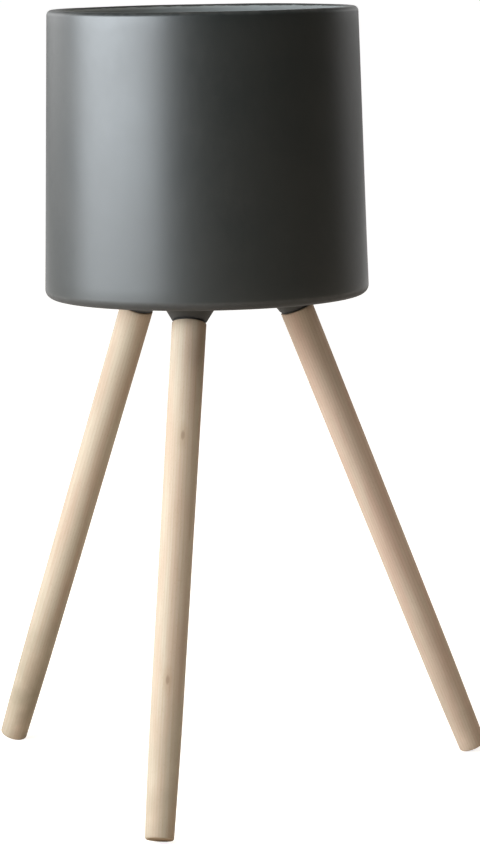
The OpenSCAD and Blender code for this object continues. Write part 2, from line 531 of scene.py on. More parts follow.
@dataclass(frozen=True)
class Glaze:
    """The pot's charcoal glaze: satin, faintly mottled, rubbed a little paler along the lip.

    The inside and the underside are left unglazed. The inside is matt and paler from just inside
    the lip's crest, and the underside is matt and dark from the lowest part of the base edge. Each
    mottle is a size and a contrast, and wear is a size and an amount.
    """

    inside_radius: float
    lean: float
    glaze_top: float
    top_fade: float = 0.0006
    glaze_foot: float = 0.0036
    foot_fade: float = 0.0045
    fade_waver: float = 0.0016
    above_underside: float = 0.005

    cool: Colour = (0.0155, 0.0205, 0.0210)
    warm: Colour = (0.0205, 0.0230, 0.0220)
    rubbed: Colour = (0.060, 0.063, 0.063)
    bare: Colour = (0.208, 0.230, 0.230)
    stained: Colour = (0.168, 0.176, 0.168)
    foot: Colour = (0.022, 0.021, 0.020)
    dust: Colour = DUST
    broad: Pair = (0.045, 1.8)
    small: Pair = (0.006, 1.2)
    peel: Pair = (0.0011, 1.0)
    wear: Pair = (0.006, 0.45)
    dusting: float = 0.10
    broad_share: float = 0.7
    small_share: float = 0.3
    rough: Levels = (0.4, 1.6, 0.38, 0.43)
    bare_matt: float = 0.4
    dust_matt: float = 0.8
    ior: float = 1.85
    small_relief: float = 2.5
    peel_depth: float = 0.000012

    def material(self) -> bpy.types.Material:
        """Paints the glaze and the bare clay.

        Returns:
            The finished material.
        """
        pot = Surface("charcoal_glaze")
        broad, small, peel = (pot.mottle(*sort) for sort in (self.broad, self.small, self.peel))
        dust = pot.dust(self.dusting)
        inside, foot = self.bare_clay(pot, small)

        mottled = pot.plus(pot.times(broad, self.broad_share), pot.times(small, self.small_share))
        tone = pot.blend(mottled, self.cool, self.warm)
        worn = pot.blend(pot.wear(*self.wear), tone, self.rubbed)
        lined = pot.blend(inside, worn, pot.blend(broad, self.bare, self.stained))
        colour = pot.blend(dust, pot.blend(foot, lined, self.foot), self.dust)

        glazed = pot.remap(pot.plus(broad, small), *self.rough)
        matt = pot.times(pot.math("MAXIMUM", inside, foot), self.bare_matt)
        rough = pot.plus(pot.plus(glazed, pot.times(dust, self.dust_matt)), matt)
        height = pot.plus(pot.times(small, self.small_relief), peel)
        return pot.finish(colour, rough, height, self.peel_depth, {"IOR": self.ior})

    def bare_clay(self, pot: Surface, waver: Socket) -> tuple[Socket, Socket]:
        """Where the glaze stops short.

        Args:
            pot: The pot's material.
            waver: Noise that makes the glaze's ends uneven.

        Returns:
            One on the bare inside, and one on the bare underside.
        """
        up = pot.part(pot.place, "Z")
        upright = pot.plus(pot.from_axis(pot.place), pot.times(up, self.lean))
        height = pot.plus(up, pot.times(waver, self.fade_waver))
        within = pot.times(pot.math("LESS_THAN", upright, self.inside_radius),
                           pot.math("GREATER_THAN", up, self.above_underside))
        inside = pot.remap(height, self.glaze_top, self.glaze_top - self.top_fade)
        foot = pot.remap(height, self.glaze_foot + self.foot_fade, self.glaze_foot)
        return pot.times(within, inside), foot


@dataclass(frozen=True)
class Knot:
    """A pin knot on a leg: how far down from its top, at what angle round it, and how large."""

    down: float
    angle: float
    size: float = 0.0015


@dataclass(frozen=True)
class Beech:
    """Fine-sanded bare beech of one leg: its own grain and knots, and painted shade at the foot.

    The wood darkens in patches towards the foot as painted shade, standing in for the lamps'
    light falling off near the floor. Two depth fields give how far down from the top this painted
    shade starts and is full. The soiled colour serves both this painted shade and the rubbed edges.
    """

    name: str
    seed: float
    pith: tuple[float, float, float]
    knots: tuple[Knot, ...] = ()
    pale: Colour = (0.592, 0.505, 0.390)
    rosy: Colour = (0.567, 0.432, 0.326)
    late: Colour = (0.450, 0.315, 0.206)
    fleck: Colour = (0.430, 0.270, 0.160)
    end: Colour = (0.400, 0.255, 0.150)
    eye: Colour = (0.200, 0.120, 0.070)
    soiled_and_shaded: Colour = (0.340, 0.285, 0.200)
    tones: Pair = (0.3, 0.7)
    ring_share: float = 0.34
    fibres: Levels = (0.45, 0.75, 0.0, 0.22)
    fleck_share: float = 0.42
    ends: Levels = (0.6, 0.9, 0.0, 0.78)
    knot_share: float = 0.40
    wear: Pair = (0.003, 0.6)
    wear_share: float = 0.5
    foot_shade: float = 0.5
    foot_shade_patches: Pair = (0.022, 1.6)
    shade_start: float = 0.20
    shade_full: float = 0.38
    rough: Levels = (0.3, 0.7, 0.60, 0.74)
    gloss: float = 0.20
    knot_radius: float = 0.012
    fibre_relief: float = 0.6
    relief: float = 0.00005

    def material(self, axis: Vector) -> bpy.types.Material:
        """The finished material.

        Args:
            axis: The way the leg points, which tells end grain from long grain.

        Returns:
            The material.
        """
        leg = Surface(self.name)
        grain = WoodGrain().place(leg, {"Place": leg.place, "Pith": self.pith, "Seed": self.seed})
        tone = leg.blend(leg.remap(grain["Tone"], *self.tones), self.pale, self.rosy)
        ringed = leg.blend(leg.times(grain["Ring"], self.ring_share), tone, self.late)
        fibred = leg.blend(leg.remap(grain["Fibre"], *self.fibres), ringed, self.late)
        flecked = leg.blend(leg.times(grain["Fleck"], self.fleck_share), fibred, self.fleck)

        along = leg.math("ABSOLUTE", leg.measure("DOT_PRODUCT", leg.normal(), tuple(axis)))
        ended = leg.blend(leg.remap(along, *self.ends), flecked, self.end)
        # Painted shade: darker in patches towards the foot, for the lamps' light falling off near
        # the floor.
        down = leg.times(leg.part(leg.place, "Z"), -1.0)
        low = leg.remap(down, self.shade_start, self.shade_full)
        foot_shade_mask = leg.times(low, leg.mottle(*self.foot_shade_patches))
        foot_shaded = leg.blend(leg.times(foot_shade_mask, self.foot_shade), ended, self.soiled_and_shaded)
        worn = leg.times(leg.wear(*self.wear), self.wear_share)
        colour = leg.blend(worn, foot_shaded, self.soiled_and_shaded)
        raised = leg.times(grain["Fibre"], self.fibre_relief)
        height = leg.math("SUBTRACT", raised, grain["Fleck"])
        for knot in self.knots:
            colour, height = self.knotted(leg, knot, colour, height)

        rough = leg.remap(grain["Fibre"], *self.rough)
        return leg.finish(colour, rough, height, self.relief, {"Specular IOR Level": self.gloss})

    def knotted(self, leg: Surface, knot: Knot, colour: Socket,
                height: Socket) -> tuple[Socket, Socket]:
        """Lays one pin knot over the wood.

        Args:
            leg: The leg's material.
            knot: The knot to lay.
            colour: The wood's colour so far.
            height: The wood's relief so far.

        Returns:
            The colour and the relief with the knot.
        """
        centre = tuple(polar(knot.angle, self.knot_radius, -knot.down))
        values = {"Place": leg.place, "Centre": centre, "Size": knot.size}
        marks = PinKnot().place(leg, values)
        stained = leg.blend(leg.times(marks["Stain"], self.knot_share), colour, self.late)
        eyed = leg.blend(leg.times(marks["Eye"], self.knot_share), stained, self.eye)
        return eyed, leg.math("SUBTRACT", height, marks["Eye"])


@dataclass(frozen=True)
class Metal:
    """Turned metal: lathe rings in its relief, and tarnish that dulls it in soft patches."""

    name: str
    bright: Colour
    dull: Colour
    rough: Pair
    patches: Pair = (0.0028, 2.2)
    patch_range: Pair = (0.2, 0.8)
    wear: Pair = (0.002, 0.7)
    tarnish: float = 0.5
    ring_pitch: float = 0.00025
    ring_depth: float = 0.000008

    def material(self) -> bpy.types.Material:
        """Paints the metal.

        Returns:
            The finished material.
        """
        metal = Surface(self.name)
        patches = metal.mottle(*self.patches)
        values = {"Place": metal.place, "Pitch": self.ring_pitch}
        rings = TurnedMarks().place(metal, values)["Height"]
        dulled = metal.blend(metal.times(patches, self.tarnish), self.bright, self.dull)
        colour = metal.blend(metal.wear(*self.wear), dulled, self.bright)
        rough = metal.remap(patches, *self.patch_range, *self.rough)
        return metal.finish(colour, rough, rings, self.ring_depth, {"Metallic": 1.0})


@dataclass(frozen=True)
class Rubber:
    """Matt black rubber with a faint bloom and a fine moulded grain."""

    black: Colour = (0.016, 0.016, 0.016)
    bloom: Colour = (0.060, 0.058, 0.055)
    dust: Colour = DUST
    patches: Pair = (0.005, 2.0)
    patch_share: float = 0.3
    wear: Pair = (0.003, 0.5)
    dusting: float = 0.25
    rough: Levels = (0.2, 0.8, 0.62, 0.82)
    grain: Pair = (0.0003, 1.0)
    grain_depth: float = 0.00002

    def material(self) -> bpy.types.Material:
        """Paints the rubber.

        Returns:
            The finished material.
        """
        rubber = Surface("black_rubber")
        patches, grain = rubber.mottle(*self.patches), rubber.mottle(*self.grain)
        bloom = rubber.plus(rubber.times(patches, self.patch_share), rubber.wear(*self.wear))
        bloomed = rubber.blend(bloom, self.black, self.bloom)
        colour = rubber.blend(rubber.dust(self.dusting), bloomed, self.dust)
        rough = rubber.remap(patches, *self.rough)
        return rubber.finish(colour, rough, grain, self.grain_depth)


@dataclass(frozen=True)
class Paper:
    """Pale seamless paper on the floor.

    Its own light is seen by the camera and in reflections only, so it adds none to the object.
    Near the object it stays lower, where the paper keeps the object's shadow. In reflections it
    fades out round a long pool of light behind the object, so the glaze mirrors a dim room on the
    viewer's side. From below it can be looked through, so the underside shows.
    """

    pool: float
    colour: Colour = (0.66, 0.59, 0.50)
    near_glow: float = 0.80
    far_glow: float = 1.0
    near: float = 0.35
    far: float = 2.2
    pool_across: float = 2.2
    full: float = 5.1
    gone: float = 5.6

    def material(self) -> bpy.types.Material:
        """Paints the paper.

        Returns:
            The finished material.
        """
        material = bpy.data.materials.new("floor_paper")
        nodes = emptied(material)
        place = nodes.own_place()
        around = nodes.measure("LENGTH", place)
        glow = nodes.remap(around, self.near, self.far, self.near_glow, self.far_glow)
        shape = nodes.scaled(place, (self.pool_across, 1.0, 1.0))
        behind = nodes.measure("DISTANCE", shape, (0.0, self.pool, 0.0))
        seen = nodes.seen(nodes.remap(behind, self.gone, self.full))
        matt = nodes.add("BsdfDiffuse", {"Color": self.colour}).outputs[0]
        shine = nodes.add("Emission", {"Strength": nodes.times(glow, seen)}).outputs[0]
        sheet = nodes.add("AddShader", {0: matt, 1: shine}).outputs[0]
        through = nodes.add("BsdfTransparent").outputs[0]
        under = nodes.add("NewGeometry").outputs["Backfacing"]
        open_below = nodes.add("MixShader", {0: under, 1: sheet, 2: through}).outputs[0]
        nodes.add("OutputMaterial", {"Surface": open_below})
        return material


@dataclass(frozen=True)
class Corner:
    """A corner of a section: its place out from the axis and along it, and what rounds it.

    A worn corner is one that hands and floors touch, and its points carry the edge weight.
    """

    out: float
    along: float
    radius: float = 0.0
    worn: bool = True


@dataclass(frozen=True)
class OutlinePoint:
    """A point of a finished section, with its edge weight."""

    out: float
    along: float
    edge: float = 0.0


def rounded(corner: Corner, before: Corner, after: Corner, steps: int) -> list[OutlinePoint]:
    """The arc that rounds one corner.

    Args:
        corner: The corner itself.
        before: The corner before it.
        after: The corner after it.
        steps: How many pieces the arc has.

    Returns:
        The arc's points, from the side of before to the side of after.
    """
    here = Vector((corner.out, corner.along))
    back = (Vector((before.out, before.along)) - here).normalized()
    ahead = (Vector((after.out, after.along)) - here).normalized()
    half = math.acos(max(-1.0, min(1.0, back.dot(ahead)))) / 2
    centre = here + (back + ahead).normalized() * (corner.radius / math.sin(half))
    start = here + back * (corner.radius / math.tan(half)) - centre
    end = here + ahead * (corner.radius / math.tan(half)) - centre
    sweep = start.angle_signed(end)
    points = []
    for step in range(steps + 1):
        share = step / steps
        turned = start.copy()
        turned.rotate(Matrix.Rotation(-sweep * share, 2))
        place = centre + turned
        edge = math.sin(math.pi * share) if corner.worn else 0.0
        points.append(OutlinePoint(place.x, place.y, edge))
    return points


def outline(corners: Sequence[Corner], closed: bool = False, step: float = 0.006,
            arc: int = 8) -> list[OutlinePoint]:
    """Rounds a section's corners and divides its long straight runs.

    Args:
        corners: The section's corners in order.
        closed: Whether the last corner joins the first.
        step: The longest piece of a straight run.
        arc: How many pieces each rounded corner has.

    Returns:
        The section's points in order.
    """
    count = len(corners)
    bare: list[OutlinePoint] = []
    for index, corner in enumerate(corners):
        inner = closed or 0 < index < count - 1
        if inner and corner.radius > 0:
            bare += rounded(corner, corners[index - 1], corners[(index + 1) % count], arc)
        else:
            bare.append(OutlinePoint(corner.out, corner.along))
    points = [bare[0]]
    for point in bare[1:] + (bare[:1] if closed else []):
        last = points[-1]
        length = math.dist((last.out, last.along), (point.out, point.along))
        pieces = max(1, math.ceil(length / step))
        for piece in range(1, pieces):
            share = piece / pieces
            points.append(OutlinePoint(last.out + (point.out - last.out) * share,
                                       last.along + (point.along - last.along) * share))
        points.append(point)
    return points[:-1] if closed else points


def polar(angle: float, out: float, along: float) -> Vector:
    """The point at an angle round the Z axis, some way out from it and some way along it."""
    return Vector((out * math.cos(angle), out * math.sin(angle), along))


def round_place(angle: float, point: OutlinePoint) -> Vector:
    """Where a point of a section lies when it is turned round the axis by an angle."""
    return polar(angle, point.out, point.along)


@dataclass(frozen=True)
class Wave:
    """A slow wave in a surface: its share, how often it turns round the axis, phase and climb."""

    share: float
    turns: int
    phase: float
    climb: float = 0.0

    def at(self, angle: float, along: float) -> float:
        """How high the wave stands at a place."""
        return self.share * math.sin(self.turns * angle + self.climb * along + self.phase)


def waver(waves: Sequence[Wave], angle: float, along: float) -> float:
    """How high several waves stand together at a place, about one half."""
    return sum((wave.at(angle, along) for wave in waves), start=0.5)


def circle(centre: Vector, across: Vector, up: Vector, radius: float, sides: int) -> list[Vector]:
    """Points round a circle.

    Args:
        centre: Its centre.
        across: The direction of its first point.
        up: The direction a quarter turn on.
        radius: Its radius.
        sides: How many points it has.

    Returns:
        The points in order.
    """
    angles = [FULL_TURN * side / sides for side in range(sides)]
    return [centre + radius * (math.cos(angle) * across + math.sin(angle) * up) for angle in angles]


def between(start: Sequence[Vector], end: Sequence[Vector], share: float) -> list[Vector]:
    """The points that lie a share of the way from one list of points to another."""
    return [a.lerp(b, share) for a, b in zip(start, end, strict=True)]


def towards(start: Sequence[Vector], end: Sequence[Vector], length: float) -> list[Vector]:
    """The points that lie a length away from one list of points, towards another."""
    return [a + (b - a).normalized() * length for a, b in zip(start, end, strict=True)]


def eased(start: Sequence[Vector], corner: Sequence[Vector], end: Sequence[Vector],
          steps: int) -> list[list[Vector]]:
    """Rings that round the corner between two surfaces.

    Args:
        start: The ring where the first surface ends.
        corner: The ring where the two surfaces would meet.
        end: The ring where the second surface starts.
        steps: How many bands the rounding has.

    Returns:
        The rings in order, with start and end.
    """
    rings = []
    for step in range(steps + 1):
        share = step / steps
        rings.append(between(between(start, corner, share), between(corner, end, share), share))
    return rings


class Shell:
    """One closed mesh in the making: rings of points that are joined, closed and filled."""

    def __init__(self) -> None:
        """Starts an empty mesh that carries the edge weight."""
        self.mesh = bmesh.new()
        self.weight = self.mesh.verts.layers.float.new(EDGE_WEIGHT)

    def ring(self, points: Iterable[Vector], edge: float = 0.0) -> Ring:
        """Adds points that share one edge weight.

        Args:
            points: Where the points are.
            edge: Their edge weight.

        Returns:
            The new ring.
        """
        made = [self.mesh.verts.new(point) for point in points]
        for vertex in made:
            vertex[self.weight] = edge
        return made

    def join(self, low: Ring, high: Ring) -> None:
        """Joins two rings with a band of faces, or a ring and a single point with a fan.

        Args:
            low: The first ring.
            high: The second ring.
        """
        if len(low) == 1:
            low, high = high, low
        for index in range(len(low)):
            following = (index + 1) % len(low)
            far = high if len(high) == 1 else (high[following], high[index])
            self.mesh.faces.new((low[index], low[following], *far))

    def chain(self, rings: Sequence[Ring]) -> None:
        """Joins each ring to the next."""
        for low, high in zip(rings, rings[1:]):
            self.join(low, high)

    def plate(self, *rings: Ring) -> None:
        """Fills the flat surface between one ring and the holes inside it.

        Args:
            *rings: The outer ring and those of the holes.
        """
        pairs = [(ring[index - 1], ring[index]) for ring in rings for index in range(len(ring))]
        bmesh.ops.triangle_fill(self.mesh, edges=[self.mesh.edges.get(pair) for pair in pairs],
                                use_beauty=True, use_dissolve=False)

    def revolve(self, points: Sequence[OutlinePoint], sides: int, closed: bool = False,
                shape: Callable[[float, OutlinePoint], Vector] = round_place) -> list[Ring]:
        """Turns a section round the Z axis.

        Args:
            points: The section.
            sides: How many points each ring has.
            closed: Whether the last ring joins the first.
            shape: Where a point lies at an angle, for a surface that isn't quite round.

        Returns:
            The rings in order. A point on the axis is a ring of one.
        """
        rings = []
        for point in points:
            count = sides if point.out > 0 else 1
            places = [shape(FULL_TURN * side / sides, point) for side in range(count)]
            rings.append(self.ring(places, point.edge))
        self.chain(rings + rings[:1] if closed else rings)
        return rings

    def piece(self, name: str, place: Matrix, crease: float = 40.0) -> bpy.types.Object:
        """Ends the mesh, moves it to its place and makes an object of it.

        The coordinates that it was drawn in stay on the mesh, so its finish moves with it.

        Args:
            name: The object's name.
            place: Where it stands in the frame.
            crease: Edges sharper than this many degrees stay sharp.

        Returns:
            The new object.
        """
        bmesh.ops.recalc_face_normals(self.mesh, faces=self.mesh.faces)
        own = self.mesh.verts.layers.float_vector.new(OWN_PLACE)
        for vertex in self.mesh.verts:
            vertex[own] = vertex.co
        self.mesh.transform(place)
        data = bpy.data.meshes.new(name)
        self.mesh.to_mesh(data)
        self.mesh.free()
        data.shade_smooth()
        data.set_sharp_from_angle(angle=math.radians(crease))
        made = bpy.data.objects.new(name, data)
        bpy.context.scene.collection.objects.link(made)
        return made


def dress(piece: bpy.types.Object, material: bpy.types.Material, body: str, node: str) -> None:
    """Paints a piece, sets it on its body and lets it stand for its node.

    Args:
        piece: The piece.
        material: Its finish.
        body: The body that it rides on.
        node: The node that it stands for.
    """
    piece.data.materials.append(material)
    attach(piece, body)
    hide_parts(node)
    faces = len(piece.data.polygons)
    log.info("%s: %d faces, rides on %s, stands for %s", piece.name, faces, body, node)


@dataclass(frozen=True)
class LegPlace:
    """Where one leg stands: the middle of its top end, and the way down its axis to the foot."""

    side: Side
    top: Vector
    axis: Vector

    @classmethod
    def of(cls, side: Side) -> "LegPlace":
        """The place that the frame's own joint gives this leg."""
        joint = next(joint for joint in frame["joints"] if joint["name"] == side.part("leg_turn"))
        return cls(side, Vector(joint["pos_m"]), Vector(joint["axis"]).normalized())

    @property
    def outward(self) -> Vector:
        """The level direction in which the leg leans."""
        return Vector((self.axis.x, self.axis.y, 0.0)).normalized()

    @property
    def across(self) -> Vector:
        """The level direction square to the leg."""
        return Vector((0.0, 0.0, 1.0)).cross(self.outward)

    @property
    def matrix(self) -> Matrix:
        """Gives the leg's own frame: its top is the origin and +Z points up along its axis.

        Returns:
            The leg's frame in the planter's.
        """
        up = -self.axis
        forward = up.cross(self.across)
        turn = Matrix((self.across, forward, up)).transposed().to_4x4()
        return Matrix.Translation(self.top) @ turn

    def at_height(self, height: float) -> Vector:
        """The point of the axis at a height above the floor."""
        return self.top + self.axis * ((height - self.top.z) / self.axis.z)


@dataclass(frozen=True)
class Pot:
    """The pot: one moulded shell with a rounded lip, a drain hole and three flared leg sockets."""

    legs: tuple[LegPlace, ...]
    height: float = 0.2115
    base_radius: float = 0.120
    rim_radius: float = 0.1145
    wall: float = 0.008
    floor: float = 0.010
    base_edge: float = 0.0065
    lip_edge: float = 0.0035
    glaze_drop: float = 0.0004
    cove: float = 0.012
    recess_radius: float = 0.020
    recess_depth: float = 0.003
    drain_radius: float = 0.011
    drain_edge: float = 0.0006
    socket_length: float = 0.013
    socket_root: float = 0.0205
    socket_end: float = 0.0126
    socket_edge: float = 0.0007
    flare: float = 0.0042
    bore_radius: float = 0.0061
    bore_depth: float = 0.0035
    land: float = 0.0015
    skin: float = 0.00002
    rim_waver: float = 0.00032
    rim_from: float = 0.75
    rim_waves: tuple[Wave, ...] = (Wave(0.28, 3, 0.7), Wave(0.22, 7, 2.1))
    wall_waver: float = 0.00016
    wall_waves: tuple[Wave, ...] = (Wave(0.3, 2, 1.9), Wave(0.2, 5, 0.0, 22.0))
    wall_ease: float = 3.0
    sides: int = 256
    socket_sides: int = 96
    flare_steps: int = 10
    flank_shares: Pair = (0.33, 0.67)
    edge_steps: int = 5

    @property
    def lean(self) -> float:
        """How far the side draws in for each metre of height."""
        return (self.base_radius - self.rim_radius) / self.height

    @property
    def origin(self) -> Vector:
        """Finds where the pot's axis crosses its underside.

        Returns:
            The point.
        """
        low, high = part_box("drain_plug")
        middle = (low + high) / 2
        return Vector((middle.x, middle.y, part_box("pot")[1].z - self.height))

    def section(self) -> list[OutlinePoint]:
        """Draws the section, from the underside round the lip to the drain hole's lower edge.

        Returns:
            The section's points in order.
        """
        wall = self.wall * math.hypot(1.0, self.lean)
        recess = self.floor - self.recess_depth
        flat_end = self.base_radius - self.base_edge - self.land
        return outline([
            Corner(flat_end, 0.0),
            Corner(self.base_radius, 0.0, self.base_edge),
            Corner(self.rim_radius, self.height, self.lip_edge),
            Corner(self.rim_radius - wall, self.height, self.lip_edge),
            Corner(self.base_radius - self.lean * self.floor - wall, self.floor, self.cove, False),
            Corner(self.recess_radius, self.floor, self.drain_edge),
            Corner(self.recess_radius, recess, self.drain_edge, worn=False),
            Corner(self.drain_radius, recess, self.drain_edge),
            Corner(self.drain_radius, 0.0, self.drain_edge),
            Corner(self.drain_radius + 2 * self.land, 0.0),
        ], step=0.009, arc=10)

    def hand_shaped(self, angle: float, point: OutlinePoint) -> Vector:
        """A point of the shell, with the slight unevenness that the lip and the wall have.

        Args:
            angle: How far round the pot the point is.
            point: The point in the section.

        Returns:
            Its place, never outside the even form.
        """
        rise = max(0.0, point.along / self.height - self.rim_from) / (1 - self.rim_from)
        dip = waver(self.rim_waves, angle, point.along)
        draw = waver(self.wall_waves, angle, point.along)
        middle = min(1.0, max(0.0, point.along - self.floor) / (self.wall_ease * self.floor))
        out = point.out - self.wall_waver * draw * middle - self.skin
        along = point.along - self.rim_waver * dip * rise * rise * (3 - 2 * rise)
        return polar(angle, out, along)

    def socket(self, shell: Shell, leg: LegPlace) -> Ring:
        """Adds one socket, from its flare on the underside to the blind end of its bore.

        Args:
            shell: The pot's mesh.
            leg: The leg that the socket takes.

        Returns:
            The outermost ring, which lies flat in the underside.
        """
        crossing = leg.at_height(self.origin.z) - self.origin
        lifted = (leg.outward - leg.axis * leg.outward.dot(leg.axis)).normalized()

        def level(radius: float) -> list[Vector]:
            """A circle on the underside round the leg's axis."""
            return circle(crossing, leg.across, leg.outward, radius, self.socket_sides)

        def square(radius: float, down: float) -> list[Vector]:
            """A circle square to the leg's axis, some way down it."""
            return circle(crossing + leg.axis * down, leg.across, lifted, radius, self.socket_sides)

        root = level(self.socket_root)
        end = square(self.socket_end, self.socket_length)
        flare_top = level(self.socket_root + self.flare)
        flare = eased(flare_top, root, towards(root, end, self.flare), self.flare_steps)
        turn = towards(end, root, self.socket_edge)
        flank = [between(flare[-1], turn, share) for share in self.flank_shares]
        face = square(self.socket_end - self.socket_edge, self.socket_length)
        edge = eased(turn, end, face, self.edge_steps)
        mouth = [
            square(self.bore_radius + self.drain_edge, self.socket_length),
            square(self.bore_radius, self.socket_length - self.drain_edge),
            square(self.bore_radius, -self.bore_depth),
        ]
        first = shell.ring(level(self.socket_root + self.flare + self.land))
        rings = [first] + [shell.ring(ring) for ring in flare + flank]
        for step, ring in enumerate(edge):
            rings.append(shell.ring(ring, math.sin(math.pi * step / self.edge_steps)))
        rings += [shell.ring(ring) for ring in mouth]
        rings.append(shell.ring([crossing - leg.axis * self.bore_depth]))
        shell.chain(rings)
        return first

    def build(self, glaze: bpy.types.Material) -> None:
        """Builds and dresses the pot.

        Args:
            glaze: Its finish.
        """
        shell = Shell()
        rings = shell.revolve(self.section(), self.sides, shape=self.hand_shaped)
        roots = [self.socket(shell, leg) for leg in self.legs]
        shell.plate(rings[0], rings[-1], *roots)
        piece = shell.piece("pot_shell", Matrix.Translation(self.origin))
        dress(piece, glaze, "pot", "pot")


@dataclass(frozen=True)
class DrainPlug:
    """Rubber plug whose stem fills the drain hole and whose head lies in the recess."""

    pot: Pot
    stands_out: float = 0.002
    stem_radius: float = 0.0109
    head_radius: float = 0.017
    head_height: float = 0.0022
    stem_edge: float = 0.0010
    seat_edge: float = 0.0003
    head_edge: float = 0.0011
    sides: int = 128

    def build(self, rubber: bpy.types.Material) -> None:
        """Builds and dresses the plug.

        Args:
            rubber: Its finish.
        """
        seat = self.pot.floor - self.pot.recess_depth
        top = seat + self.head_height
        section = outline([
            Corner(0.0, -self.stands_out),
            Corner(self.stem_radius, -self.stands_out, self.stem_edge),
            Corner(self.stem_radius, seat),
            Corner(self.head_radius, seat, self.seat_edge),
            Corner(self.head_radius, top, self.head_edge),
            Corner(0.0, top),
        ], step=0.002, arc=8)
        shell = Shell()
        shell.revolve(section, self.sides)
        piece = shell.piece("drain_plug_rubber", Matrix.Translation(self.pot.origin))
        dress(piece, rubber, "drain_plug", "drain_plug")


@dataclass(frozen=True)
class Thread:
    """A helical thread along +Z, of one phase on a bolt and in what the bolt screws into."""

    pitch: float
    crest: float
    depth: float
    crest_share: float
    root_share: float

    def radius(self, angle: float, along: float) -> float:
        """Measures the thread.

        Args:
            angle: How far round the axis.
            along: How far along it.

        Returns:
            The thread's radius there.
        """
        phase = (along / self.pitch - angle / FULL_TURN) % 1.0
        from_crest = abs(phase - 0.5) * 2
        fall = (from_crest - self.crest_share) / (self.root_share - self.crest_share)
        return self.crest - self.depth * max(0.0, min(1.0, fall))


